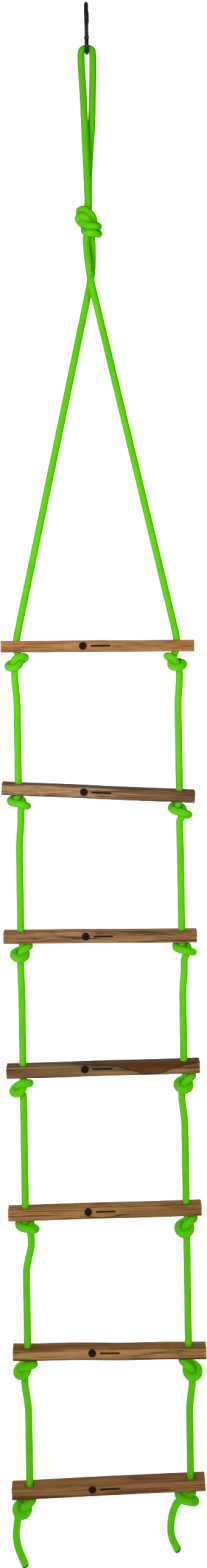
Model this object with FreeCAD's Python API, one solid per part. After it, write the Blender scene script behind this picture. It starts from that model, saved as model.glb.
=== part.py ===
"""Rope ladder: one rope, doubled over a snap hook and tied in a crown knot, whose two legs
carry seven drilled wooden rungs, each resting on a knot in either rope.

Millimetres. Origin at the inside top of the hook's bow, where the ladder hangs. +Z is up,
+X runs along the rungs and +Y goes through the ladder from front to back.
"""

import FreeCAD
import Part
import math
import os

V = FreeCAD.Vector

# ------------------------------------------------------------------ driving dimensions
ROPE_D = 11.0
ROPE_R = ROPE_D / 2
GAP = 0.3  # between pieces that move against each other

# snap hook: round wire bent into a pear, wide bow up, narrow bow down
WIRE_R = 3.3
TOP_BOW_R = 13.3  # on the wire's centre line, as all the bows are
LOW_BOW_R = 9.3
TOP_BOW_Z = -(TOP_BOW_R - WIRE_R)
LOW_WIRE_Z = -70.0
LOW_BOW_Z = LOW_WIRE_Z + LOW_BOW_R
NOSE_Z = -30.0  # where the nose ends and the gate begins
PIVOT_Z = -52.0
GATE_R = 2.85
GATE_EYE_R = 2.2
TONGUE_W = 2.6  # the flat tongues at both ends of the gate's opening
SLOT_W = 3.2
TONGUE_L = 5.0
FORK_DEPTH = 4.5  # of the slot below the pivot
EYE_REACH = 2.0  # of the gate's lower tongue above the knuckle
NOSE_GAP = 0.8  # below the nose, so that the gate's rim clears it as it swings in
RIVET_R = 1.2
RIVET_BORE_R = 1.28
RIVET_HEAD_R = 2.0
RIVET_HEAD_T = 0.4
RIVET_OVERHANG = 0.1  # between the wire's surface and the rivet's heads
SPRING_R = 1.3
SPRING_BORE_R = 1.5
SPRING_WIRE = 0.5
SPRING_L = 5.0
SPRING_Z = -45.0
SPRING_ROOM = 1.0  # longer than the spring, in its bore
NOSE_LUG = 0.8  # how far the lug beside the nose stands out
NOSE_LUG_L = 15.0

# rungs: (number, height of the centre, right end down in degrees, front edge down in degrees,
# how far the wood lies to the right of its two holes)
RUNG_L = 300.0
RUNG_D = 20.0
RUNG_H = 18.5
RUNG_EDGE_R = 1.8
LENGTH_MATCH = 0.01  # how near an edge must be to the rung's length to count as one of its long edges
HOLE_R = 7.2
ROPE_X = 125.0
RUNGS = [
    (1, -993.0, 0.6, 0.0, 1.5),
    (2, -1220.0, 3.4, 5.0, -1.0),
    (3, -1443.5, 0.5, 0.0, -1.7),
    (4, -1649.0, -0.8, 1.0, -0.5),
    (5, -1870.0, -0.8, 0.0, -1.4),
    (6, -2089.0, 0.4, 0.0, 2.2),
    (7, -2298.0, -1.8, 5.5, -2.6),
]

# knots: bundles of round turns of the rope
KNOT_TURN_R = 11.5  # from the knot's axis to the middle of the rope in its turns
KNOT_PITCH = 8.5
KNOT_TURNS = 3
CROWN_TURN_R = 14.5
CROWN_PITCH = 10.0
CROWN_TURNS = 5
CROWN_X = -1.5
CROWN_TOP_Z = -307.0
HINGE_DROP = 6.0  # from a knot's underside to the centre of the bend below it

# ropes above the first rung: each a list of route points
LOOP_END_Z = -185.5
NECK_START_Z = -187.5
LOOP_R = WIRE_R + GAP + ROPE_R  # round the hook's lower bow
NECKS = {
    "left": [(-5.5, -4.0, NECK_START_Z), (-4.3, -5.4, -223), (-2.9, -6.0, -263), (-2.0, -6.0, CROWN_TOP_Z)],
    "right": [(6.0, 4.1, NECK_START_Z), (2.2, 5.8, -223), (-0.7, 6.2, -263), (-1.2, 6.0, CROWN_TOP_Z)],
}
LOOP_SIDES = [
    [(-5.6, -3.9, LOOP_END_Z), (-7.4, -2.0, -138), (-LOOP_R, 0.0, -86)],
    [(6.1, 4.0, LOOP_END_Z), (8.6, 1.8, -138), (LOOP_R, 0.0, -86)],
]
LOOP_REACHES = (20.0, 9.0)  # how far the arcs at the two corners of each side reach
# The right leg from the crown knot down to where it turns into the first rung. It starts on the left,
# in front, and crosses over; the left leg is the same turned half round the axis through the crossing.
LEG_START = (-4.5, -2.5)  # x from the crown knot's axis, and y
LEG_CROSSING = [(-4.0, -6.3, -393), (0.2, -6.4, -426)]
BEND_Z = -982.0
# tails: x, y and height over the bend below the last knot
TAILS = {
    "left": [(-141, 0, 0), (-146, -3, -24), (-143, -2, -50), (-135, 2, -73)],
    "right": [(110, 0, 0), (101, -2, -22), (99, 1, -46), (107, 3, -69)],
}


# ------------------------------------------------------------------ helpers
def corner(before, at, after, reach):
    """The arc that rounds off the corner at, from reach before it to reach after it, and its radius."""
    into, out = (before - at), (after - at)
    half_turn = (math.pi - into.getAngle(out)) / 2
    radius = reach / math.tan(half_turn)
    into.normalize()
    out.normalize()
    centre = at + (into + out).normalize() * (radius / math.cos(half_turn))
    middle = centre + (at - centre).normalize() * radius
    return Part.Arc(at + into * reach, middle, at + out * reach), radius


def rounded(corners, reaches):
    """Straight edges through the corners, joined by an arc at each corner between the two ends."""
    edges, radii, start = [], [], corners[0]
    for before, at, after, reach in zip(corners, corners[1:], corners[2:], reaches):
        arc, radius = corner(before, at, after, reach)
        edges += [Part.LineSegment(start, arc.StartPoint).toShape(), arc.toShape()]
        radii.append(radius)
        start = arc.EndPoint
    edges.append(Part.LineSegment(start, corners[-1]).toShape())
    return edges, radii


def tube(name, points):
    """A rope along straight runs joined by tangent arcs, each as large as its runs allow."""
    corners = [V(*p) for p in points]
    runs = [(a - b).Length for a, b in zip(corners, corners[1:])]
    edges, radii = rounded(corners, [0.45 * min(pair) for pair in zip(runs, runs[1:])])
    return swept(name, edges, ROPE_R, radii)


def swept(name, edges, radius, radii):
    """A round bar along the edges. Prints its length, its volume against section x length, and its bends."""
    path = Part.Wire(edges)
    first = path.OrderedEdges[0]
    ring = Part.makeCircle(radius, first.valueAt(first.FirstParameter), first.tangentAt(first.FirstParameter))
    solid = path.makePipeShell([Part.Wire(ring)], True, True)
    expected = math.pi * radius**2 * path.Length
    listed = ", ".join(f"{r:.0f}" for r in radii)
    print(f"{name}: length {path.Length:.1f}, volume over section x length {solid.Volume / expected:.4f},"
          f" radii {listed}")
    return solid


def turns(turn_r, pitch, count, top):
    """A knot as a solid of revolution: round turns of rope one below the other, centred on top."""
    half = pitch / 2
    groove = turn_r + math.sqrt(ROPE_R**2 - half**2)
    edges, at = [], V(turn_r, 0, 0)
    edges.append(Part.LineSegment(V(0, 0, 0), at).toShape())
    for i in range(count):
        middle_z = -ROPE_R - i * pitch
        last = i == count - 1
        end = V(turn_r, 0, middle_z - ROPE_R) if last else V(groove, 0, middle_z - half)
        edges.append(Part.Arc(at, V(turn_r + ROPE_R, 0, middle_z), end).toShape())
        at = end
    bottom = V(0, 0, at.z)
    edges += [Part.LineSegment(at, bottom).toShape(), Part.LineSegment(bottom, V(0, 0, 0)).toShape()]
    solid = Part.Face(Part.Wire(edges)).revolve(V(0, 0, 0), V(0, 0, 1), 360)
    solid.translate(top)
    return solid


def knot_height(pitch, count):
    return pitch * (count - 1) + ROPE_D


def export(name, shape):
    shape.exportStep(f"parts/{name}.step")
    print(f"{name}: {shape.Volume / 1000:.1f} cm3, valid {shape.isValid()}")


def side_sign(side):
    return -1 if side == "left" else 1


# ------------------------------------------------------------------ snap hook
TAPER = math.asin((TOP_BOW_R - LOW_BOW_R) / (TOP_BOW_Z - LOW_BOW_Z))
TOP_TANGENT = V(0, TOP_BOW_R * math.cos(TAPER), TOP_BOW_Z - TOP_BOW_R * math.sin(TAPER))
LOW_TANGENT = V(0, LOW_BOW_R * math.cos(TAPER), LOW_BOW_Z - LOW_BOW_R * math.sin(TAPER))


def gate_side(z):
    """The point at height z on the straight front side of the hook, where the gate is."""
    share = (z - LOW_TANGENT.z) / (TOP_TANGENT.z - LOW_TANGENT.z)
    return V(0, -(LOW_TANGENT.y + share * (TOP_TANGENT.y - LOW_TANGENT.y)), z)


SIDE_DIRECTION = (gate_side(NOSE_Z) - gate_side(PIVOT_Z)).normalize()  # up the gate side


def flat_bar(width, depth, low_z, high_z):
    """A bar along the gate side, centred on the wire's centre line."""
    low, high = gate_side(low_z), gate_side(high_z)
    bar = Part.makeBox(width, depth, (high - low).Length, V(-width / 2, -depth / 2, 0))
    bar.rotate(V(0, 0, 0), V(1, 0, 0), math.degrees(math.atan2(-SIDE_DIRECTION.y, SIDE_DIRECTION.z)))
    bar.translate(low)
    return bar


def hook_body():
    front_top, pivot = V(0, -TOP_TANGENT.y, TOP_TANGENT.z), gate_side(PIVOT_Z)
    front_low = V(0, -LOW_TANGENT.y, LOW_TANGENT.z)
    edges = [
        Part.LineSegment(gate_side(NOSE_Z), front_top).toShape(),
        Part.Arc(front_top, V(0, 0, TOP_BOW_Z + TOP_BOW_R), TOP_TANGENT).toShape(),
        Part.LineSegment(TOP_TANGENT, LOW_TANGENT).toShape(),
        Part.Arc(LOW_TANGENT, V(0, 0, LOW_WIRE_Z), front_low).toShape(),
        Part.LineSegment(front_low, pivot).toShape(),
    ]
    wire = swept("hook wire", edges, WIRE_R, [TOP_BOW_R, LOW_BOW_R])
    knuckle = Part.makeSphere(WIRE_R, pivot)
    tongue = flat_bar(TONGUE_W, WIRE_R, NOSE_Z - TONGUE_L, NOSE_Z + TONGUE_L)
    lug = Part.makeCylinder(WIRE_R, NOSE_LUG_L, gate_side(NOSE_Z), SIDE_DIRECTION)
    lug.translate(V(NOSE_LUG, 0, 0))
    body = wire.fuse([knuckle, tongue, lug])
    # the fork that holds the gate's lower tongue, and the hole for its rivet
    fork = flat_bar(SLOT_W, 4 * WIRE_R, PIVOT_Z - FORK_DEPTH, PIVOT_Z + 2 * WIRE_R)
    hole = Part.makeCylinder(RIVET_R, 4 * WIRE_R, pivot - V(2 * WIRE_R, 0, 0), V(1, 0, 0))
    return body.cut([fork, hole]).removeSplitter()


def gate():
    """A round bar, hollowed below to clear the knuckle and slotted above to take the nose's tongue."""
    pivot, top = gate_side(PIVOT_Z), gate_side(NOSE_Z - NOSE_GAP)
    rod = Part.makeCylinder(GATE_R, (top - pivot).Length, pivot, SIDE_DIRECTION)
    knuckle_room = Part.makeCylinder(WIRE_R + GAP, 4 * WIRE_R, pivot - V(2 * WIRE_R, 0, 0), V(1, 0, 0))
    tongue = flat_bar(TONGUE_W, 2 * GATE_EYE_R, PIVOT_Z, PIVOT_Z + WIRE_R + EYE_REACH)
    eye = Part.makeCylinder(GATE_EYE_R, TONGUE_W, pivot - V(TONGUE_W / 2, 0, 0), V(1, 0, 0))
    slot = flat_bar(SLOT_W, 4 * GATE_R, NOSE_Z - TONGUE_L - NOSE_GAP, NOSE_Z + TONGUE_L)
    bore = Part.makeCylinder(RIVET_BORE_R, 2 * TONGUE_W, pivot - V(TONGUE_W, 0, 0), V(1, 0, 0))
    spring_bore = Part.makeCylinder(SPRING_BORE_R, SPRING_L + SPRING_ROOM, gate_side(SPRING_Z), SIDE_DIRECTION)
    return rod.cut(knuckle_room).fuse([tongue, eye]).cut([slot, bore, spring_bore]).removeSplitter()


def gate_rivet():
    pivot = gate_side(PIVOT_Z)
    half = WIRE_R + RIVET_OVERHANG
    shank = Part.makeCylinder(RIVET_R, 2 * half, pivot - V(half, 0, 0), V(1, 0, 0))
    heads = [
        Part.makeCylinder(RIVET_HEAD_R, RIVET_HEAD_T, pivot + V(s * half, 0, 0), V(s, 0, 0)) for s in (-1, 1)
    ]
    return shank.fuse(heads).removeSplitter()


def gate_spring():
    """The compression spring inside the gate, as its outer shape with the hollow of its coils."""
    base = gate_side(SPRING_Z) + SIDE_DIRECTION * GAP
    outer = Part.makeCylinder(SPRING_R, SPRING_L, base, SIDE_DIRECTION)
    hollow = Part.makeCylinder(SPRING_R - SPRING_WIRE, 2 * SPRING_L, base - SIDE_DIRECTION, SIDE_DIRECTION)
    return outer.cut(hollow)


# ------------------------------------------------------------------ ropes and knots
def loop_rope():
    """Up one side, round the hook's lower bow and down the other, as one piece of rope."""
    edges, radii = [], []
    for side, sign in zip(LOOP_SIDES, (-1, 1)):
        beside_wire = V(sign * LOOP_R, 0, LOW_WIRE_Z)
        lines, bends = rounded([V(*p) for p in side] + [beside_wire], LOOP_REACHES)
        edges += lines if sign < 0 else list(reversed(lines))
        radii += bends
        if sign < 0:
            over = V(0, 0, LOW_WIRE_Z + LOOP_R)
            edges.append(Part.Arc(beside_wire, over, V(LOOP_R, 0, LOW_WIRE_Z)).toShape())
    return swept("loop_rope", edges, ROPE_R, radii)


def rung_place(z, tilt, roll):
    turn = FreeCAD.Rotation(V(0, 1, 0), tilt) * FreeCAD.Rotation(V(1, 0, 0), roll)
    return FreeCAD.Placement(V(0, 0, z), turn)


def rung(z, tilt, roll, shift):
    bar = Part.makeBox(RUNG_L, RUNG_D, RUNG_H, V(shift - RUNG_L / 2, -RUNG_D / 2, -RUNG_H / 2))
    long_edges = [e for e in bar.Edges if abs(e.Length - RUNG_L) < LENGTH_MATCH]
    bar = bar.makeFillet(RUNG_EDGE_R, long_edges)
    for s in (-1, 1):
        bar = bar.cut(Part.makeCylinder(HOLE_R, 2 * RUNG_H, V(s * ROPE_X, 0, -RUNG_H), V(0, 0, 1)))
    bar.Placement = rung_place(z, tilt, roll)
    return bar


def knot_top(z, tilt, roll, side):
    """Where the knot under one end of a rung begins: just below the lowest wood over it."""
    s = side_sign(side)
    under = rung_place(z, tilt, roll).multVec(V(s * ROPE_X, 0, -RUNG_H / 2))
    slope = math.hypot(math.tan(math.radians(tilt)), math.tan(math.radians(roll)))
    return V(s * ROPE_X, 0, under.z - GAP - slope * KNOT_TURN_R)


def bend_below(top):
    """The centre of the bend between a knot and the rope below it."""
    return top - V(0, 0, knot_height(KNOT_PITCH, KNOT_TURNS) + HINGE_DROP)


def hanging_rope(start, end):
    """A straight rope with a round upper end, so that it can fold about that end's centre."""
    straight = Part.makeCylinder(ROPE_R, start.z - end.z, end, V(0, 0, 1))
    return straight.fuse(Part.makeSphere(ROPE_R, start)).removeSplitter()


def tail(name, points, start):
    """A rope end below the last knot, with a round upper end like the other ropes."""
    route = [V(x, y, start.z + dz) for x, y, dz in points]
    body = tube(name, route)
    return body.fuse(Part.makeSphere(ROPE_R, route[0])).removeSplitter()


# ------------------------------------------------------------------ the whole ladder
def main():
    os.makedirs("parts", exist_ok=True)
    export("hook_body", hook_body())
    export("hook_gate", gate())
    export("gate_rivet", gate_rivet())
    export("gate_spring", gate_spring())
    export("loop_rope", loop_rope())
    for side, points in NECKS.items():
        export(f"neck_rope_{side}", tube(f"neck_rope_{side}", points))
    crown_top = V(CROWN_X, 0, CROWN_TOP_Z)
    export("crown_knot", turns(CROWN_TURN_R, CROWN_PITCH, CROWN_TURNS, crown_top))
    crown_low = CROWN_TOP_Z - knot_height(CROWN_PITCH, CROWN_TURNS)
    bends = {}
    for number, z, tilt, roll, shift in RUNGS:
        export(f"rung_{number}", rung(z, tilt, roll, shift))
        for side in ("left", "right"):
            s = side_sign(side)
            top = knot_top(z, tilt, roll, side)
            export(f"knot_{number}_{side}", turns(KNOT_TURN_R, KNOT_PITCH, KNOT_TURNS, top))
            if number == 1:
                start_x, start_y = LEG_START
                leg = [(CROWN_X + s * start_x, s * start_y, crown_low)]
                leg += [(s * x, s * y, z) for x, y, z in LEG_CROSSING]
                leg += [(s * ROPE_X, 0, BEND_Z), (s * ROPE_X, 0, top.z)]
                export(f"leg_rope_{side}", tube(f"leg_rope_{side}", leg))
            else:
                export(f"rope_{number}_{side}", hanging_rope(bends[side], top))
            bends[side] = bend_below(top)
            print(f"bend below knot {number} {side}: {tuple(round(c, 3) for c in bends[side])}")
    for side, points in TAILS.items():
        export(f"tail_{side}", tail(f"tail_{side}", points, bends[side]))


main()
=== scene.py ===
"""Rope ladder: a braided green rope on a snap hook, with seven wooden rungs on overhand knots.

Everything is in the frame's own coordinates. Routes are written in millimetres, as in the part's
source, and become metres in rope_line.
"""
import math
from collections import namedtuple

import bpy
import numpy as np
from mathutils import Matrix, Vector


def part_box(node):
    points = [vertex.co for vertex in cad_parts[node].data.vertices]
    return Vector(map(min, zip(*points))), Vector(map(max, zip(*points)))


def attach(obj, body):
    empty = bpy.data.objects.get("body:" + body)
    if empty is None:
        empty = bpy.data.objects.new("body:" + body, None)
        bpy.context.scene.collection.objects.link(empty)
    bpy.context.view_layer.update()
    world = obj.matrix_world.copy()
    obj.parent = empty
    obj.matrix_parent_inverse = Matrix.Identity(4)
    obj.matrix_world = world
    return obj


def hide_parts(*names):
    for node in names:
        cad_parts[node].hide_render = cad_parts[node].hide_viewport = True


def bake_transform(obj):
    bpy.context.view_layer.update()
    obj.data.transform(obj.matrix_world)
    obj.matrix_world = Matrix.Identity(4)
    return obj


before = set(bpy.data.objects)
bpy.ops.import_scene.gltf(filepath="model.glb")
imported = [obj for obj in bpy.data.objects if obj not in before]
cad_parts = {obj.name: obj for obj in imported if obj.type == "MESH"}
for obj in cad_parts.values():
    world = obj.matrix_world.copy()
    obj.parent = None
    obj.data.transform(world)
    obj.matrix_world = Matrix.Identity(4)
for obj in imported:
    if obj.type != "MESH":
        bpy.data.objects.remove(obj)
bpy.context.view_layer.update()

MM = 0.001

# Rope
ROPE_D = 11.0
ROPE_R = ROPE_D / 2
COLUMNS = 16                   # columns of stitches round the rope, leaning left and right by turns
VERTS_ROUND = 2 * COLUMNS
RING_STEP = 1.0                # mm between rings
STITCH_LENGTH = 3.8            # mm along the rope for one stitch
STITCH_LEAN = 0.5              # how far a stitch climbs across its column, in stitches
RELIEF = 0.34                  # mm from the valleys between stitches to their tops
MELTED_RINGS = 4               # at a free end
FREE_END_SHARES = (0.80, 0.95, 1.02)    # of the radius, from a free end's last ring inwards
MIN_STITCH = 0.35              # how high a column's middle stays between two stitches, as a share
PINCH = 0.25                   # how much thinner the rope is where it bears on the hook
PINCH_REACH = 9.0              # how far from the loop's top it is still thinner
LOOP_TOP = (0.0, 0.0, -62.8)   # the middle of the rope over the hook's lower wire

# Knots
LOBE_Z = 10.0                  # height of the overhand's highest lobe over its middle, before scaling
BEND_BELOW = 34.0              # from a knot's top to the bend under it
KNOT_SCALE = 0.9
CROWN = (-1.5, 0.0, -338.0)
CROWN_SCALE = 0.96

# Rungs: tilt is the right end down and roll the front edge down, in degrees, and shift is how far the
# wood lies to the right of its two holes
Rung = namedtuple("Rung", "number centre_z tilt roll shift")
RUNG_L, RUNG_D, RUNG_H = 300.0, 20.0, 18.5
HOLE_R = 6.4                   # a little tighter round the braid than the drilled 7.2
LEANING_HOLE_R = 6.9           # in a rung that hangs at an angle to its ropes
LEANING = 2.0                  # degrees of roll
ROPE_X = 125.0
RUNGS = [
    Rung(1, -993.0, 0.6, 0.0, 1.5),
    Rung(2, -1220.0, 3.4, 5.0, -1.0),
    Rung(3, -1443.5, 0.5, 0.0, -1.7),
    Rung(4, -1649.0, -0.8, 1.0, -0.5),
    Rung(5, -1870.0, -0.8, 0.0, -1.4),
    Rung(6, -2089.0, 0.4, 0.0, 2.2),
    Rung(7, -2298.0, -1.8, 5.5, -2.6),
]
SIDES = {"left": -1, "right": 1}


def side_name(number, side):
    """The key of one of a rung's two knots."""
    return f"{number}_{side}"


def link(thing):
    """Puts an object into the scene and gives it back."""
    bpy.context.scene.collection.objects.link(thing)
    return thing


# ---------------------------------------------------------------- camera
# A view square to the ladder, from in front of the first rung and turned a little about its own axis.
# The frame is shifted down so that the whole ladder fits.
CAMERA_AT = (0.011, -1.892, -0.9823)
CAMERA_ROLL = math.radians(-0.94)
SENSOR = 36.0
FOCAL = 27.95
SHIFT_Y = -0.0924


def make_camera():
    """The photo's view of the ladder."""
    data = bpy.data.cameras.new("camera")
    data.sensor_width = SENSOR
    data.lens = FOCAL
    data.shift_y = SHIFT_Y
    data.clip_start = 0.05
    data.clip_end = 30.0
    camera = link(bpy.data.objects.new("camera", data))
    camera.matrix_world = (
        Matrix.Translation(CAMERA_AT)
        @ Matrix.Rotation(math.radians(90), 4, "X")
        @ Matrix.Rotation(CAMERA_ROLL, 4, "Z")
    )
    bpy.context.scene.camera = camera


make_camera()


# ---------------------------------------------------------------- materials
class Nodes:
    """Short names for building a shader's nodes."""

    def __init__(self, name):
        self.material = bpy.data.materials.new(name)
        self.material.use_nodes = True
        self.tree = self.material.node_tree
        self.shader = self.tree.nodes["Principled BSDF"]

    def add(self, kind, inputs=(), **settings):
        node = self.tree.nodes.new(kind)
        for key, value in settings.items():
            setattr(node, key, value)
        for key, value in dict(inputs).items():
            self.put(node, key, value)
        return node

    def put(self, node, key, value):
        if isinstance(value, bpy.types.NodeSocket):
            self.tree.links.new(value, node.inputs[key])
        else:
            node.inputs[key].default_value = value

    def put_all(self, **values):
        """Sets inputs of the shader itself, with _ for a space in a name."""
        for key, value in values.items():
            self.put(self.shader, key.replace("_", " "), value)

    def math(self, operation, first, second=0.0, clamp=False):
        node = self.add("ShaderNodeMath", {0: first, 1: second}, operation=operation, use_clamp=clamp)
        return node.outputs[0]

    def swing(self, noise, amount):
        """How far a noise lies over its middle of 0.5, times this amount."""
        return self.math("MULTIPLY", self.math("SUBTRACT", noise, 0.5), amount)

    def distance(self, across, up):
        """The length of a step that goes this far across and up."""
        squares = self.math("ADD", self.math("POWER", across, 2.0), self.math("POWER", up, 2.0))
        return self.math("SQRT", squares)

    def noise(self, vector, scale, detail=3.0, roughness=0.5, distortion=0.0):
        node = self.add("ShaderNodeTexNoise", {
            "Vector": vector, "Scale": scale, "Detail": detail,
            "Roughness": roughness, "Distortion": distortion,
        })
        return node.outputs["Fac"]

    def stretch(self, vector, scale, shift=(0, 0, 0)):
        node = self.add("ShaderNodeMapping", {"Vector": vector, "Scale": scale, "Location": shift})
        return node.outputs["Vector"]

    def ramp(self, factor, stops):
        node = self.add("ShaderNodeValToRGB", {"Fac": factor})
        ramp = node.color_ramp
        while len(ramp.elements) < len(stops):
            ramp.elements.new(0.5)
        for element, (place, colour) in zip(ramp.elements, stops):
            element.position = place
            element.color = (*colour, 1)
        return node.outputs["Color"]

    def mix(self, factor, first, second, blend="MIX"):
        node = self.add("ShaderNodeMix", data_type="RGBA", blend_type=blend)
        colours = [s for s in node.inputs if s.type == "RGBA"]
        self.put(node, 0, factor)
        for socket, value in zip(colours, (first, second)):
            if isinstance(value, bpy.types.NodeSocket):
                self.tree.links.new(value, socket)
            else:
                socket.default_value = (*value, 1)
        return [s for s in node.outputs if s.type == "RGBA"][0]

    def bump(self, height, strength, distance):
        node = self.add("ShaderNodeBump", {"Height": height, "Strength": strength, "Distance": distance})
        return node.outputs["Normal"]


def rope_material():
    """Braided green cord: columns of slanting stitches, with painted shade darkening the valleys between
    them.
    """
    n = Nodes("rope_green")
    uv = n.add("ShaderNodeUVMap", uv_map="braid").outputs["UV"]
    parts = n.add("ShaderNodeSeparateXYZ", {"Vector": uv})
    across, along = parts.outputs["X"], parts.outputs["Y"]
    column = n.math("FLOOR", across)
    within = n.math("SUBTRACT", across, column)
    parity = n.math("MODULO", column, 2.0)
    lean = n.math("MULTIPLY", n.math("SUBTRACT", 1.0, n.math("MULTIPLY", parity, 2.0)), STITCH_LEAN)
    stitch = n.math("ADD", along, n.math("MULTIPLY", lean, within))
    bulge = n.math("ABSOLUTE", n.math("SINE", n.math("MULTIPLY", stitch, math.pi)))
    width = n.math("SINE", n.math("MULTIPLY", within, math.pi))
    ridge = n.math("MULTIPLY", n.math("POWER", bulge, 0.55), n.math("POWER", width, 0.4))
    cell = n.add("ShaderNodeCombineXYZ", {"X": column, "Y": n.math("FLOOR", stitch)})
    random = n.add("ShaderNodeTexWhiteNoise", {"Vector": cell.outputs[0]},
                   noise_dimensions="2D").outputs["Value"]
    place = n.add("ShaderNodeTexCoord").outputs["Object"]
    dirt = n.noise(place, 18.0, 4.0)
    fibre = n.noise(n.stretch(uv, (7.0, 5.0, 1.0)), 2.0, 3.0, 0.7)
    # Painted shade: the ramp below darkens the valleys and pits between the stitches as shade would; the
    # random tone of each stitch and the fibres are the cord's own colour.
    painted_shade_and_tone = n.math("ADD", n.math("MULTIPLY", ridge, 0.8), n.math("MULTIPLY", random, 0.2))
    painted_shade_and_tone = n.math("ADD", painted_shade_and_tone, n.swing(fibre, 0.3), clamp=True)
    green = n.ramp(painted_shade_and_tone, [
        (0.0, (0.030, 0.215, 0.0006)),
        (0.14, (0.058, 0.385, 0.0008)),
        (0.5, (0.083, 0.505, 0.0010)),
        (1.0, (0.105, 0.595, 0.0013)),
    ])
    tint = n.ramp(dirt, [(0.3, (0.88, 0.92, 0.8)), (0.7, (1, 1, 1))])
    height = n.math("ADD", n.math("MULTIPLY", ridge, 0.75), n.math("MULTIPLY", fibre, 0.25))
    n.put_all(Base_Color=n.mix(1.0, green, tint, "MULTIPLY"), Roughness=0.75, Specular_IOR_Level=0.05,
              Normal=n.bump(height, 0.5, 0.0005))
    return n.material


def cut_end_material():
    """Rope ends melted to a dark, uneven crust."""
    n = Nodes("rope_cut_end")
    place = n.add("ShaderNodeTexCoord").outputs["Object"]
    crust = n.noise(place, 420.0, 5.0, 0.65)
    colour = n.ramp(crust, [(0.3, (0.006, 0.02, 0.004)), (0.7, (0.03, 0.11, 0.012))])
    n.put_all(Base_Color=colour, Roughness=0.7, Specular_IOR_Level=0.08, Normal=n.bump(crust, 0.6, 0.0008))
    return n.material


rope_green = rope_material()
rope_cut = cut_end_material()


# ---------------------------------------------------------------- rope
def tube_faces(rings, count):
    """The faces of a tube of so many rings of count points each, with a face over each end."""
    faces = [(i * count + k, i * count + (k + 1) % count,
              (i + 1) * count + (k + 1) % count, (i + 1) * count + k)
             for i in range(rings - 1) for k in range(count)]
    faces.append(tuple(reversed(range(count))))
    faces.append(tuple(range((rings - 1) * count, rings * count)))
    return faces


def rope_line(name, route):
    """The NURBS line with this route as its control points, in metres. The points that Blender reads from
    it are spaced anew along it, so that the rings of stitches are all equally long."""
    curve = bpy.data.curves.new(f"{name}_line", "CURVE")
    curve.dimensions = "3D"
    curve.resolution_u = 16
    spline = curve.splines.new("NURBS")
    spline.points.add(len(route) - 1)
    for point, place in zip(spline.points, route):
        point.co = (*(value * MM for value in place), 1)
    spline.order_u = 3
    spline.use_endpoint_u = True
    line = link(bpy.data.objects.new(f"{name}_line", curve))
    bpy.context.view_layer.update()
    mesh = bpy.data.meshes.new_from_object(line)
    read = np.array([vertex.co for vertex in mesh.vertices], float)
    bpy.data.objects.remove(line)
    bpy.data.meshes.remove(mesh)
    bpy.data.curves.remove(curve)
    along = np.r_[0, np.cumsum(np.linalg.norm(np.diff(read, axis=0), axis=1))]
    rings = int(round(along[-1] / (RING_STEP * MM))) + 1
    even = np.linspace(0, along[-1], rings)
    return np.stack([np.interp(even, along, read[:, axis]) for axis in range(3)], axis=1)


def frames_along(line):
    """Two normals at each point that don't twist about the line, apart from one slow turn."""
    tangents = np.gradient(line, axis=0)
    tangents /= np.linalg.norm(tangents, axis=1)[:, None]
    first = np.empty_like(line)
    side = np.array([1.0, 0.0, 0.0])
    for i, tangent in enumerate(tangents):
        side = side - tangent * (side @ tangent)
        side /= np.linalg.norm(side)
        first[i] = side
    second = np.cross(tangents, first)
    # The slow turn makes the last ring meet the next piece's first one, each pair of columns on a pair.
    pair = 2 * math.pi / (COLUMNS / 2)
    left_over = math.atan2(-second[-1][0], first[-1][0])
    left_over = (left_over + pair / 2) % pair - pair / 2
    turn = np.linspace(0, left_over, len(line))[:, None]
    return (first * np.cos(turn) + second * np.sin(turn),
            second * np.cos(turn) - first * np.sin(turn))


def stitch_height(rings_along):
    """The braid's surface from 0 to 1 at each ring and each vertex round it: a column's edges are valleys,
    and its middle rises and falls with the stitches."""
    column = np.arange(COLUMNS)
    lean = np.where(column % 2 == 0, 1, -1) * STITCH_LEAN / 2
    height = np.zeros((len(rings_along), VERTS_ROUND))
    bulge = np.abs(np.sin(np.pi * (rings_along[:, None] + lean)))
    height[:, 1::2] = MIN_STITCH + (1 - MIN_STITCH) * bulge
    return height


def ring_radii(line, along, free_end):
    """The braid's radius at each ring and vertex: thinner on the hook, and rounded over at a free end."""
    radius = ROPE_R * MM + RELIEF * MM * stitch_height(along)
    from_hook = np.linalg.norm(line / MM - LOOP_TOP, axis=1)
    radius *= 1 - PINCH * np.exp(-(from_hook / PINCH_REACH) ** 2)[:, None]
    if free_end:
        for step, share in enumerate(FREE_END_SHARES):
            radius[-1 - step] *= share
    return radius


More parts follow.
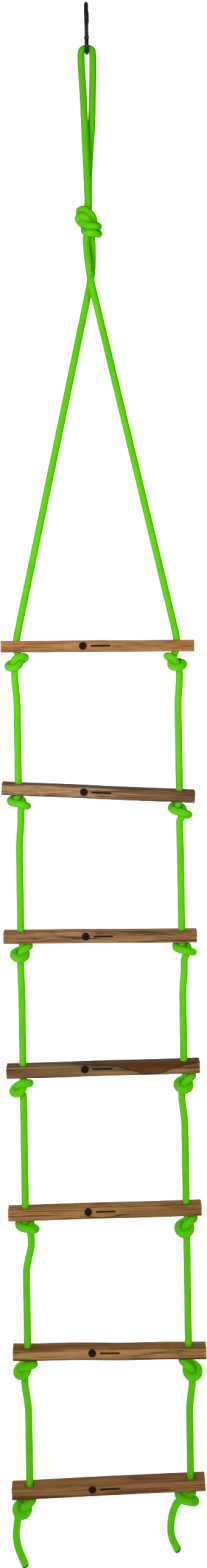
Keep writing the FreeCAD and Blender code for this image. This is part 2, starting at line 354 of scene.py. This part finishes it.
def braided_rope(name, line, free_end=False):
    """A braided tube along the line. Its last end, where free, is rounded over and melted."""
    rings = len(line)
    first, second = frames_along(line)
    length = np.linalg.norm(np.diff(line, axis=0), axis=1).sum()
    stitches = max(1, round(length / (STITCH_LENGTH * MM)))
    along = np.linspace(0, stitches, rings)
    radius = ring_radii(line, along, free_end)
    angle = np.arange(VERTS_ROUND) * (2 * math.pi / VERTS_ROUND)
    outward = (first[:, None] * np.cos(angle)[None, :, None]
               + second[:, None] * np.sin(angle)[None, :, None])
    places = (line[:, None] + outward * radius[..., None]).reshape(-1, 3)
    faces = tube_faces(rings, VERTS_ROUND)
    sides = len(faces) - 2
    width = COLUMNS / VERTS_ROUND
    coordinates = []
    for ring in range(rings - 1):
        for k in range(VERTS_ROUND):
            left, right = k * width, k * width + width
            coordinates += [(left, along[ring]), (right, along[ring]),
                            (right, along[ring + 1]), (left, along[ring + 1])]
    coordinates += [(0.0, 0.0)] * (2 * VERTS_ROUND)
    mesh = bpy.data.meshes.new(name)
    mesh.from_pydata(places.tolist(), [], faces)
    layer = mesh.uv_layers.new(name="braid")
    layer.data.foreach_set("uv", np.array(coordinates, np.float32).ravel())
    mesh.materials.append(rope_green)
    mesh.materials.append(rope_cut)
    smooth = np.ones(len(faces), bool)
    smooth[sides:] = False
    mesh.polygons.foreach_set("use_smooth", smooth)
    if free_end:
        melted = np.zeros(len(faces), np.int32)
        melted[sides - MELTED_RINGS * VERTS_ROUND:sides] = 1
        melted[-1] = 1
        mesh.polygons.foreach_set("material_index", melted)
    mesh.update()
    rope = link(bpy.data.objects.new(name, mesh))
    return rope


# One overhand knot, top to bottom about its own middle.
OVERHAND = [
    (-4.5, -1, 9), (-6, -5, 1.5), (-4, -10.5, -5), (2.5, -12.5, -9), (10, -11, -10),
    (15, -5.5, -9), (15.5, 2, -6), (11, 7.8, -2.5), (4, 9.3, -0.6), (-4, 9.3, 0.6), (-11, 7.8, 2.5),
    (-15.5, 2, 6), (-15, -5.5, 9), (-10, -11, 10), (-2.5, -12.5, 9), (4, -10.5, 5), (6, -5, -1.5),
    (4.5, -1, -9),
]

# How each knot lies: shift of its middle in x, turn about the rope in degrees, mirror, its height as a
# share of the usual one, and shift in x of the rope where it leaves.
Knot = namedtuple("Knot", "shift turn mirror height leave")
KNOTS = {
    "1_left": Knot(0.4, 8, -1, 1.0, -3.0),
    "1_right": Knot(-2.6, 322, 1, 1.05, 3.0),
    "2_left": Knot(0.0, 162, -1, 0.66, 3.0),
    "2_right": Knot(0.4, 168, -1, 0.86, -0.5),
    "3_left": Knot(-0.2, 45, -1, 0.92, -1.0),
    "3_right": Knot(3.6, 164, -1, 0.66, 3.0),
    "4_left": Knot(-2.6, 345, -1, 0.98, 0.0),
    "4_right": Knot(0.3, 42, -1, 1.0, -4.0),
    "5_left": Knot(2.3, 168, -1, 0.64, 8.5),
    "5_right": Knot(-1.3, 32, -1, 1.1, 0.0),
    "6_left": Knot(-3.5, 352, -1, 0.92, -5.0),
    "6_right": Knot(3.2, 325, 1, 1.08, 5.0),
    "7_left": Knot(-9.5, 30, -1, 0.86, -19.5),
    "7_right": Knot(-6.5, 172, -1, 0.85, -27.5),
}

# The last right-hand knot ends its own way: from behind at the upper right, under its front turn and out
# at the lower left. In mm from the knot's middle, x to the right, y to the back and z up.
LAST_TURN = {"7_right": [(6, 8, 9), (11, 4, 6), (6, 0, 2.5), (-2, -1, 0.5), (-10, -1, -3), (-16, 0, -9)]}
POINTS_KEPT = 15               # of the overhand's points, before such an ending

EXIT_LEAN = {"7_right": 0.38}  # how far a knot's rope leans over as it leaves, in x for each mm of height


def knot_top(number, side):
    """The height of a knot's top, under its rung."""
    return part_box(f"knot_{number}_{side}")[1][2] / MM


def knot_route(number, side):
    """From just inside the rung's hole, round the knot, to the bend below it."""
    key = side_name(number, side)
    knot = KNOTS[key]
    x = SIDES[side] * ROPE_X
    top = knot_top(number, side)
    height = KNOT_SCALE * knot.height
    centre = top - LOBE_Z * height - ROPE_R
    cos, sin = math.cos(math.radians(knot.turn)), math.sin(math.radians(knot.turn))
    ending = LAST_TURN.get(key, [])
    points = [(x + knot.shift / 3, 0, top + 3)]
    for place in OVERHAND[:POINTS_KEPT] if ending else OVERHAND:
        px, py = place[0] * knot.mirror * KNOT_SCALE, place[1] * KNOT_SCALE
        points.append((x + knot.shift + px * cos - py * sin, px * sin + py * cos,
                       centre + place[2] * height))
    points += [(x + knot.shift + px, py, centre + pz) for px, py, pz in ending]
    lean = EXIT_LEAN.get(key, 0.0)
    bend = top - BEND_BELOW
    return points + [(x + knot.leave + lean * rise, 0, bend + rise) for rise in (6, 3, 0)]


def bend_point(number, side):
    """Where one length of rope ends, under its knot, and the next begins."""
    return (SIDES[side] * ROPE_X + KNOTS[side_name(number, side)].leave, 0.0,
            knot_top(number, side) - BEND_BELOW)


# The doubled overhand at the crown: the front neck's strand, then the back neck's.
CROWN_FRONT = [
    (-0.5, -6, 27), (-4, -7, 18), (-8, -7, 9), (-9, -10, 1), (-4, -15, -6), (4, -18, -8),
    (12, -15, -7.5), (16, -6, -6), (16, 3, -2), (12, 11, 3), (3, 14.5, 8), (-6, 14, 13),
    (-13, 9, 17.5), (-15.5, 1, 20), (-14, -8, 21), (-8, -15.5, 20), (0, -17.5, 15), (6.5, -14, 9.5),
    (9, -7, 5), (8, 0, -3), (6, 3.5, -12), (4.5, 3.5, -18),
]
CROWN_BACK = [
    (0.3, 5.5, 27), (-2, 5, 16), (-3.5, 4, 7), (-6, 2, -3), (-8, -6, -12), (-4.5, -13.5, -17),
    (3, -17, -18.5), (11, -14, -19), (16, -6, -18), (16.5, 3, -14), (12, 11, -9), (3, 14.5, -4),
    (-6, 14, 1), (-13.5, 8, 6), (-17, 0, 8), (-16.5, -9, 9.5), (-11, -17, 9.5), (-4, -18.5, 6.5),
    (2, -13, 3), (3, -6, -1.5), (0, -3, -10), (-3, -3, -17),
]


# The head's rope in mm from the loop's top down to the crown knot, for each side
LOOP_AND_NECK = {
    "left": [(-4.0, 0, LOOP_TOP[2]), (-8.9, 0, -67.6), (-9.2, 0, -75), (-9.2, 0, -88),
             (-6.6, -2.8, -138), (-5.3, -4.3, -185.5), (-4.3, -5.4, -223), (-2.9, -6.0, -263),
             (-2.0, -6.0, -296)],
    "right": [(4.0, 0, LOOP_TOP[2]), (8.9, 0, -67.6), (9.2, 0, -75), (9.2, 0, -88),
              (7.6, 2.4, -138), (5.6, 4.3, -185.5), (2.2, 5.8, -223), (-0.7, 6.2, -263),
              (-1.2, 6.0, -296)],
}
CROWN_STRANDS = {"left": CROWN_FRONT, "right": CROWN_BACK}
# From the crown knot down the right leg to rung 1's hole. The left leg is the same, turned half round
# the upright line through the crossing, apart from its first point, which follows the knot.
KNOT_EXIT_X = {"left": 3.0, "right": -6.0}
RIGHT_LEG = [(-4.0, -6.3, -393), (0.2, -6.4, -426), (7.688, -6.016, -459.36), (118.76, -0.32, -954.2),
             (ROPE_X, 0, -982)]


def head_half(side):
    """One half of the head rope, from the top of the loop over the hook down to the bend under rung 1."""
    s = SIDES[side]
    crown = [tuple(a * CROWN_SCALE + b for a, b in zip(place, CROWN)) for place in CROWN_STRANDS[side]]
    leg = [(KNOT_EXIT_X[side], -2.5 * s, -362)] + [(x * s, y * s, z) for x, y, z in RIGHT_LEG]
    return LOOP_AND_NECK[side] + crown + leg + knot_route(1, side)


def section_route(number, side):
    """From the bend under one knot, down through the next rung, to the bend under its knot."""
    x, y, z = bend_point(number - 1, side)
    straight = SIDES[side] * ROPE_X
    top = knot_top(number, side)
    return [(x, y, z), (x, y, z - 4), (x, y, z - 9), (straight, 0, z - 42), (straight, 0, z - 60),
            (straight, 0, top + 45), (straight, 0, top + 14)] + knot_route(number, side)


# x, y and height over the bend below the last knot
TAILS = {
    "left": [(-144.5, 0, 0), (-144.8, 0, -5), (-148, -2, -22), (-145, -3, -42), (-138, 0, -62),
             (-133.7, 2, -75)],
    "right": [(97.5, 0, 0), (95.6, 0, -5), (92.8, -2, -17), (92.5, -1, -33), (96.5, 1, -49),
              (103.9, 3, -63.6)],
}


def declare(line, name):
    """Prints the length of rope that was drawn."""
    length = float(np.linalg.norm(np.diff(line, axis=0), axis=1).sum())
    print(f"{name}: {length:.4f} m")


def make_ropes():
    """The head's one long rope, two ropes for each further rung, and the two free ends."""
    route = list(reversed(head_half("left"))) + head_half("right")
    line = rope_line("rope_head", route)
    head = braided_rope("rope_head", line)
    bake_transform(head)
    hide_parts("loop_rope", "neck_rope_left", "neck_rope_right", "crown_knot",
                "leg_rope_left", "leg_rope_right", "knot_1_left", "knot_1_right")
    declare(line, "rope_head")
    for number in range(2, 8):
        for side in SIDES:
            name = f"rope_{number}_{side}"
            line = rope_line(name, section_route(number, side))
            rope = braided_rope(f"braided_{name}", line)
            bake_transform(rope)
            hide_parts(name, f"knot_{number}_{side}")
            declare(line, name)
    for side, tail in TAILS.items():
        name = f"tail_{side}"
        bend = bend_point(7, side)[2]
        line = rope_line(name, [(x, y, bend + z) for x, y, z in tail])
        rope = braided_rope(f"braided_{name}", line, free_end=True)
        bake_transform(rope)
        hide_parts(name)
        declare(line, name)


make_ropes()


# ---------------------------------------------------------------- rungs
# Each rung's edge radius in mm; its light, middle and dark colour; how strong its dark lines and its wide
# dark streaks are; how dark the painted shade on its top face is and how dark its lower front edge is; and
# the seed of its grain
Wood = namedtuple("Wood", "edge_r light middle dark lines streaks top_dark low_dark seed")
WOODS = {
    1: Wood(1.6, (0.335, 0.165, 0.061), (0.265, 0.121, 0.042), (0.140, 0.058, 0.018),
            lines=0.50, streaks=0.25, top_dark=0.15, low_dark=0.1, seed=1.3),
    2: Wood(1.8, (0.325, 0.193, 0.098), (0.235, 0.134, 0.064), (0.085, 0.038, 0.015),
            lines=0.95, streaks=0.70, top_dark=0.90, low_dark=0.5, seed=4.1),
    3: Wood(1.6, (0.305, 0.166, 0.073), (0.235, 0.123, 0.051), (0.080, 0.034, 0.012),
            lines=0.85, streaks=0.35, top_dark=0.45, low_dark=0.1, seed=7.7),
    4: Wood(1.6, (0.250, 0.150, 0.066), (0.180, 0.104, 0.044), (0.062, 0.031, 0.012),
            lines=1.00, streaks=0.45, top_dark=0.75, low_dark=0.2, seed=12.4),
    5: Wood(2.6, (0.295, 0.157, 0.053), (0.225, 0.115, 0.035), (0.092, 0.038, 0.011),
            lines=0.90, streaks=0.35, top_dark=0.60, low_dark=0.2, seed=16.9),
    6: Wood(2.6, (0.355, 0.190, 0.067), (0.265, 0.134, 0.041), (0.072, 0.029, 0.009),
            lines=0.80, streaks=0.50, top_dark=0.80, low_dark=0.8, seed=21.2),
    7: Wood(2.2, (0.250, 0.125, 0.046), (0.200, 0.095, 0.034), (0.090, 0.034, 0.010),
            lines=0.55, streaks=0.20, top_dark=0.65, low_dark=0.85, seed=27.8),
}
SWIRL = {5: (-4.0, 26.0, 5.0), 3: (-70.0, 45.0, -2.5)}    # where the grain bends: x, reach and depth in mm
HEARTWOOD = {4: (74.0, 37.0, 18.5)}                       # a darker bow: x, half width and depth in mm
CRACKED = {2: 1.0, 6: 0.35}                               # how cracked the lower front is
LEFT_LOW = {7: 0.035}                                     # how the dark lower edge widens to the left
STATIONS = 150                 # sections along a rung
EDGE_STEPS = 5                 # round each long edge
END_ROUND = 0.9                # radius of the edges round a rung's end faces
SWAY = 0.16                    # how far each wave of the sawn faces goes out of true, in mm
WAVES = 5
STEADY = 20.0                  # mm from a rung's end over which the waves die out
HOLE_CHAMFER = 0.5
DRILL_OVERRUN = 2.0
DRILL_SIDES = 48
SHARP_EDGE = math.radians(35)
MARK_DISC_R = 6.0
MARK_BAR_FROM_DISC, MARK_BAR_HALF, MARK_BAR_R = 27.0, 14.0, 1.3
MARK_PLACE = {                 # x and height of the disc's middle on the front face
    1: (-21.0, 0.6), 2: (-23.2, 1.2), 3: (-23.9, 1.5), 4: (-28.5, 2.4), 5: (-27.0, 2.6), 6: (-24.5, 2.6),
    7: (-27.5, 2.8),
}


def bell(n, x, middle, reach):
    """1 at this x, falling away to either side."""
    share = n.math("DIVIDE", n.math("SUBTRACT", x, middle * MM), reach * MM)
    return n.math("DIVIDE", 1.0, n.math("ADD", 1.0, n.math("POWER", n.math("ABSOLUTE", share), 2.5)))


def soft_step(n, value, low, high):
    """0 under low, 1 over high."""
    return n.math("DIVIDE", n.math("SUBTRACT", value, low), high - low, clamp=True)


def grain_field(n, number, x, y, z):
    """The place in the grain: the rung's own place, lifted where the grain bends."""
    if number in SWIRL:
        where, reach, depth = SWIRL[number]
        z = n.math("ADD", z, n.math("MULTIPLY", bell(n, x, where, reach), depth * MM))
    return n.add("ShaderNodeCombineXYZ", {"X": x, "Y": y, "Z": z}).outputs[0]


def add_lines(n, kind, grain, wood):
    """Thin dark growth lines and wide dark streaks."""
    seed = kind.seed
    lines = n.noise(n.stretch(grain, (9, 420, 420), (seed, seed, seed)), 1.0, 3.0, 0.5, 0.3)
    wood = n.mix(n.math("MULTIPLY", soft_step(n, lines, 0.57, 0.65), kind.lines), wood,
                 tuple(c * 0.4 for c in kind.dark))
    wide = n.noise(n.stretch(grain, (3.5, 90, 90), (seed, -seed, seed)), 1.0, 1.0, 0.5, 0.2)
    return n.mix(n.math("MULTIPLY", soft_step(n, wide, 0.55, 0.64), kind.streaks), wood, kind.dark)


def add_heartwood(n, number, wood, x, z, streak, tone):
    """A dark bow that hangs down from the top edge, with a darker rim."""
    where, half_width, depth = HEARTWOOD[number]
    start = RUNG_H / 2 * MM + 0.0015
    bow = n.math("SUBTRACT", start, n.math("MULTIPLY", bell(n, x, where, half_width), depth * MM))
    above = n.math("SUBTRACT", z, n.math("ADD", bow, n.swing(streak, 0.004)))
    wood = n.mix(n.math("MULTIPLY", soft_step(n, above, 0.0, 0.0012), 0.9), wood,
                 n.mix(tone, (0.022, 0.006, 0.002), (0.150, 0.048, 0.014)))
    rim = n.math("SUBTRACT", 1.0, soft_step(n, n.math("ABSOLUTE", above), 0.0005, 0.0013))
    return n.mix(n.math("MULTIPLY", rim, 0.85), wood, (0.03, 0.010, 0.005))


def add_cracks(n, number, wood, place, z):
    """Small dark cracks low on the front."""
    seed = WOODS[number].seed
    crack = n.noise(n.stretch(place, (70, 500, 500), (seed, seed, 0)), 1.0, 5.0, 0.75, 0.8)
    low = soft_step(n, n.math("MULTIPLY", z, -1.0), -0.001, 0.007)
    amount = n.math("MULTIPLY", low, CRACKED[number])
    crack = n.math("MULTIPLY", soft_step(n, crack, 0.52, 0.60), amount)
    return n.mix(n.math("MULTIPLY", crack, 0.8), wood, (0.035, 0.018, 0.010))


def darken_low_edge_and_paint_top_shade(n, number, wood, x, z, slow, tone):
    """Darkens the lower front edge, and paints shade on the faces that look up, more on some rungs than on
    others.
    """
    kind = WOODS[number]
    low = n.math("ADD", n.math("MULTIPLY", z, -1.0), n.swing(slow, 0.012))
    if number in LEFT_LOW:
        low = n.math("SUBTRACT", low, n.math("MULTIPLY", x, LEFT_LOW[number]))
    wood = n.mix(n.math("MULTIPLY", soft_step(n, low, 0.0055, 0.0085), kind.low_dark), wood,
                 tuple(c * 0.6 for c in kind.dark))
    # Painted shade: faces whose normal looks up are darkened, by an amount set for each rung, as if shaded
    # from the front light.
    normal = n.add("ShaderNodeNewGeometry").outputs["Normal"]
    up = n.add("ShaderNodeSeparateXYZ", {"Vector": normal}).outputs["Z"]
    return n.mix(n.math("MULTIPLY", soft_step(n, up, 0.4, 0.8), kind.top_dark), wood,
                 n.mix(tone, tuple(c * 0.5 for c in kind.dark), kind.dark))


def mark_ink(n, number, x, y, z, fibre):
    """1 where the front face is inked: a disc and a bar to the right of it."""
    disc_x, disc_z = MARK_PLACE[number]
    level = n.math("SUBTRACT", z, disc_z * MM)
    from_disc = n.math("SUBTRACT", x, disc_x * MM)
    disc = n.math("SUBTRACT", n.distance(from_disc, level), MARK_DISC_R * MM)
    from_bar = n.math("ABSOLUTE", n.math("SUBTRACT", from_disc, MARK_BAR_FROM_DISC * MM))
    over = n.math("MAXIMUM", n.math("SUBTRACT", from_bar, MARK_BAR_HALF * MM), 0.0)
    bar = n.math("SUBTRACT", n.distance(over, level), MARK_BAR_R * MM)
    inside = n.math("LESS_THAN", n.math("MINIMUM", disc, bar), n.math("MULTIPLY", fibre, 0.0002))
    front = n.math("LESS_THAN", y, -0.4 * RUNG_D * MM)
    return n.math("MULTIPLY", n.math("MULTIPLY", inside, front), 0.98)


def wood_material(number):
    """Sawn hardwood: long streaks, growth lines, pores and a stamped mark of a disc and a bar."""
    kind = WOODS[number]
    seed = kind.seed
    n = Nodes(f"wood_{number}")
    place = n.add("ShaderNodeAttribute", attribute_name="grain_place").outputs["Vector"]
    parts = n.add("ShaderNodeSeparateXYZ", {"Vector": place})
    x, y, z = (parts.outputs[axis] for axis in "XYZ")
    grain = grain_field(n, number, x, y, z)
    slow = n.noise(n.stretch(grain, (7, 60, 60), (seed, seed, 0)), 1.0, 2.0, 0.5)
    streak = n.noise(n.stretch(grain, (14, 240, 240), (seed, 0, seed)), 1.0, 5.0, 0.65, 0.5)
    fibre = n.noise(n.stretch(grain, (60, 1600, 1600), (0, seed, seed)), 1.0, 4.0, 0.7)
    tone = n.math("ADD", n.math("MULTIPLY", streak, 0.55), n.math("MULTIPLY", slow, 0.45))
    tone = n.math("ADD", tone, n.swing(fibre, 0.45), clamp=True)
    wood = n.ramp(tone, [(0.36, kind.dark), (0.45, kind.middle), (0.57, kind.light)])
    wood = add_lines(n, kind, grain, wood)
    if number in HEARTWOOD:
        wood = add_heartwood(n, number, wood, x, z, streak, tone)
    if number in CRACKED:
        wood = add_cracks(n, number, wood, place, z)
    wood = darken_low_edge_and_paint_top_shade(n, number, wood, x, z, slow, tone)
    wood = n.mix(mark_ink(n, number, x, y, z, fibre), wood, (0.005, 0.005, 0.005))
    height = n.math("ADD", n.math("MULTIPLY", fibre, 0.5), n.math("MULTIPLY", streak, 0.5))
    n.put_all(Base_Color=wood, Roughness=0.8, Specular_IOR_Level=0.02, Normal=n.bump(height, 0.4, 0.0005))
    return n.material


def rounded_section(half_y, half_z, edge):
    """Points round a rectangle with rounded edges, with three on each flat."""
    y, z = half_y - edge, half_z - edge
    # the middle of each edge's arc, and the end of the flat that follows it
    corners = [((y, z), (-y, half_z)), ((-y, z), (-half_y, -z)),
               ((-y, -z), (y, -half_z)), ((y, -z), (half_y, z))]
    points = []
    for quarter, (middle, flat_end) in enumerate(corners):
        for step in range(EDGE_STEPS + 1):
            turn = math.radians(90 * quarter + 90 * step / EDGE_STEPS)
            points.append((middle[0] + edge * math.cos(turn), middle[1] + edge * math.sin(turn)))
        last = points[-1]
        points += [tuple(a + (b - a) * share for a, b in zip(last, flat_end)) for share in (0.25, 0.5, 0.75)]
    return points


def mesh_object(name, places, faces):
    """A new object with this mesh, whose places are in millimetres."""
    mesh = bpy.data.meshes.new(name)
    mesh.from_pydata([tuple(value * MM for value in place) for place in places], [], faces)
    mesh.update()
    return link(bpy.data.objects.new(name, mesh))


def lathe(name, x, profile):
    """A closed solid of revolution about the upright line at x."""
    turns = [2 * math.pi * k / DRILL_SIDES for k in range(DRILL_SIDES)]
    places = [(x + r * math.cos(turn), r * math.sin(turn), z) for r, z in profile for turn in turns]
    return mesh_object(name, places, tube_faces(len(profile), DRILL_SIDES))


def rung_blank(number, shift):
    """The rung before drilling: sawn not quite true, the edges of its end faces rounded."""
    random = np.random.default_rng(100 + number)
    # rate along the rung, phase, and how far sideways and up
    waves = [(random.uniform(0.010, 0.045), random.uniform(0, 6.28), random.uniform(-1, 1),
              random.uniform(-1, 1)) for _ in range(WAVES)]
    half = RUNG_L / 2
    stations = [-half, -half + 0.35 * END_ROUND, -half + END_ROUND]
    stations += list(np.linspace(-half + 3, half - 3, STATIONS))
    stations += [half - END_ROUND, half - 0.35 * END_ROUND, half]
    section = rounded_section(RUNG_D / 2, RUNG_H / 2, WOODS[number].edge_r)
    places = []
    for station in stations:
        from_end = half - abs(station)
        short = max(0.0, END_ROUND - from_end)
        inset = END_ROUND - math.sqrt(max(0.0, END_ROUND ** 2 - short ** 2))
        steady = min(1, from_end / STEADY)
        sway_y = sum(SWAY * across * math.sin(rate * station + phase) for rate, phase, across, up in waves)
        sway_z = sum(SWAY * up * math.sin(rate * station + phase) for rate, phase, across, up in waves)
        for y, z in section:
            places.append((station + shift,
                           y * (1 - inset / (RUNG_D / 2)) + sway_y * steady,
                           z * (1 - inset / (RUNG_H / 2)) + sway_z * steady))
    return mesh_object(f"rung_{number}_blank", places, tube_faces(len(stations), len(section)))


def drilled(blank, number, hole):
    """The blank's mesh with its two holes, chamfered above and below."""
    top, wide = RUNG_H / 2, hole + HOLE_CHAMFER
    profile = [(wide + DRILL_OVERRUN, -top - DRILL_OVERRUN), (wide, -top), (hole, -top + HOLE_CHAMFER),
               (hole, top - HOLE_CHAMFER), (wide, top), (wide + DRILL_OVERRUN, top + DRILL_OVERRUN)]
    drills = [lathe(f"drill_{number}_{side}", SIDES[side] * ROPE_X, profile) for side in SIDES]
    for drill in drills:
        cut = blank.modifiers.new(drill.name, "BOOLEAN")
        cut.operation = "DIFFERENCE"
        cut.solver = "EXACT"
        cut.object = drill
    bpy.context.view_layer.update()
    mesh = bpy.data.meshes.new_from_object(blank.evaluated_get(bpy.context.evaluated_depsgraph_get()))
    for spent in drills + [blank]:
        bpy.data.objects.remove(spent)
    return mesh


def make_rung(number, centre_z, tilt, roll, shift):
    """One drilled, grained and marked rung, hung at its own angle."""
    mesh = drilled(rung_blank(number, shift), number, LEANING_HOLE_R if roll > LEANING else HOLE_R)
    places = np.empty(len(mesh.vertices) * 3, np.float32)
    mesh.vertices.foreach_get("co", places)
    attribute = mesh.attributes.new("grain_place", "FLOAT_VECTOR", "POINT")
    attribute.data.foreach_set("vector", places)
    mesh.materials.clear()
    mesh.materials.append(wood_material(number))
    mesh.polygons.foreach_set("use_smooth", np.ones(len(mesh.polygons), bool))
    mesh.set_sharp_from_angle(angle=SHARP_EDGE)
    rung = link(bpy.data.objects.new(f"wood_rung_{number}", mesh))
    rung.matrix_world = (Matrix.Translation((0, 0, centre_z * MM))
                         @ Matrix.Rotation(math.radians(tilt), 4, "Y")
                         @ Matrix.Rotation(math.radians(roll), 4, "X"))
    bpy.context.view_layer.update()
    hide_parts(f"rung_{number}")
    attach(rung, "head" if number == 1 else f"rung_{number}")


for rung in RUNGS:
    make_rung(*rung)


# ---------------------------------------------------------------- hook
def steel_material(name, colour, roughness):
    """Dark plated steel, a little rubbed."""
    n = Nodes(name)
    place = n.add("ShaderNodeTexCoord").outputs["Object"]
    rub = n.noise(place, 160.0, 4.0, 0.6)
    lighter = tuple(min(1.0, c * 2.6) for c in colour)
    roughness = n.math("ADD", n.math("MULTIPLY", rub, 0.25), roughness)
    n.put_all(Base_Color=n.ramp(rub, [(0.5, colour), (0.78, lighter)]), Metallic=0.85, Roughness=roughness,
              Normal=n.bump(n.noise(place, 900.0, 3.0), 0.15, 0.0002))
    return n.material


# The hook's own pieces from the frame: material name, colour and least roughness
HOOK_STEELS = {
    "hook_body": ("steel_hook", (0.022, 0.022, 0.024), 0.22),
    "hook_gate": ("steel_gate", (0.055, 0.056, 0.06), 0.25),
    "gate_rivet": ("steel_rivet", (0.03, 0.03, 0.032), 0.25),
    "gate_spring": ("steel_spring", (0.08, 0.08, 0.085), 0.2),
}
for node, look in HOOK_STEELS.items():
    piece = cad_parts[node]
    piece.data.materials.clear()
    piece.data.materials.append(steel_material(*look))


# ---------------------------------------------------------------- floor and light
# in metres
FLOOR_Z = -2.75
FLOOR_FRONT_Y = -6.0
FLOOR_HALF_WIDTH = 7.0
BACKDROP_Y = 3.2
BACKDROP_TOP_Z = 4.0
BACKDROP_BEND_R = 1.2
BACKDROP_BEND_STEPS = 16


def make_floor():
    """A pale floor that curves up into a backdrop. It is seen from its lit side only, so that a view
    from behind or below looks through it at the ladder."""
    rows = [(FLOOR_FRONT_Y, FLOOR_Z)]
    for step in range(BACKDROP_BEND_STEPS + 1):
        turn = math.radians(90 * step / BACKDROP_BEND_STEPS)
        rows.append((BACKDROP_Y - BACKDROP_BEND_R * (1 - math.sin(turn)),
                     FLOOR_Z + BACKDROP_BEND_R * (1 - math.cos(turn))))
    rows.append((BACKDROP_Y, BACKDROP_TOP_Z))
    places = [(x, y, z) for y, z in rows for x in (-FLOOR_HALF_WIDTH, FLOOR_HALF_WIDTH)]
    faces = [(2 * i, 2 * i + 1, 2 * i + 3, 2 * i + 2) for i in range(len(rows) - 1)]
    mesh = bpy.data.meshes.new("floor")
    mesh.from_pydata(places, [], faces)
    mesh.polygons.foreach_set("use_smooth", [True] * len(faces))
    n = Nodes("floor_white")
    n.put_all(Base_Color=(0.93, 0.93, 0.93, 1), Roughness=0.9)
    one_sided = n.add("ShaderNodeMixShader", {
        0: n.add("ShaderNodeNewGeometry").outputs["Backfacing"],
        1: n.shader.outputs["BSDF"],
        2: n.add("ShaderNodeBsdfTransparent").outputs["BSDF"],
    })
    n.put(n.tree.nodes["Material Output"], "Surface", one_sided.outputs["Shader"])
    mesh.materials.append(n.material)
    floor = link(bpy.data.objects.new("floor", mesh))


def area_light(name, place, target, size, power):
    """A soft rectangular light that looks at its target, in metres and watts."""
    data = bpy.data.lights.new(name, "AREA")
    data.shape = "RECTANGLE"
    data.size, data.size_y = size
    data.energy = power
    light = link(bpy.data.objects.new(name, data))
    light.location = place
    light.rotation_euler = (Vector(target) - Vector(place)).to_track_quat("-Z", "Y").to_euler()


def make_lights():
    """An even white surround, a key light at the left, a weaker fill, and a light on the backdrop."""
    world = bpy.data.worlds.new("studio")
    world.use_nodes = True
    background = world.node_tree.nodes["Background"]
    background.inputs["Color"].default_value = (1, 1, 1, 1)
    background.inputs["Strength"].default_value = 0.27
    bpy.context.scene.world = world
    area_light("key", (-0.8, -1.5, -0.85), (0, 0, -1.0), size=(0.8, 1.0), power=30)
    area_light("fill", (1.1, -1.5, -1.1), (0, 0, -1.15), size=(0.8, 1.2), power=12.5)
    area_light("backdrop", (0, 1.2, 0.6), (0, BACKDROP_Y, -1.2), size=(5.0, 1.5), power=260)


make_floor()
make_lights()
bpy.context.scene.view_settings.view_transform = "Standard"
